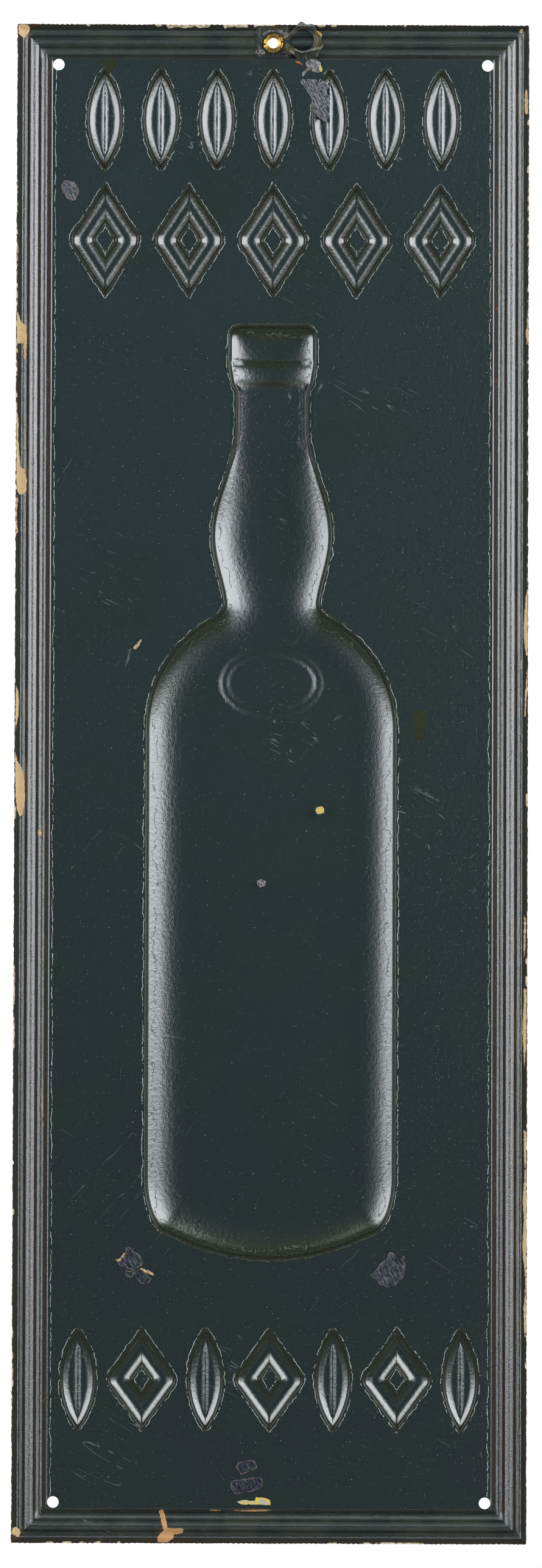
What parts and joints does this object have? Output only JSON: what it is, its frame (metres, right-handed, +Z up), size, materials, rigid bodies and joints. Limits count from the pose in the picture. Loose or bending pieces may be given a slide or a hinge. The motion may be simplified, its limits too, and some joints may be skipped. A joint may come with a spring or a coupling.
{
  "type": "embossed tin wall sign",
  "caption": "Tall embossed tin wall sign with a bottle relief, self-framing border moulding, corner holes and a swivelling ring hanger on a brass eyelet.",
  "frame": {"origin": "middle of the rectangle of corner holes, on the back face of the sheet's flat field", "axes": "+Z up along the sign's height, -Y out of the printed front, +Y towards the wall, +X to the right seen from the front"},
  "size_m": [0.169, 0.0063, 0.5008],
  "materials": {
    "painted_tin": "gloss",
    "brass": "worn",
    "hanger_tin": "worn gloss"
  },
  "bodies": {
    "sign": {"panel": "painted_tin", "eyelet": "brass"},
    "hanger": {"hanger": "hanger_tin"}
  },
  "joints": [
    {"name": "hanger_swivel", "type": "hinge", "parent": "sign", "child": "hanger", "pos_m": [0, 0, 0.2438], "axis": [0, 1, 0], "continuous": true}
  ]
}
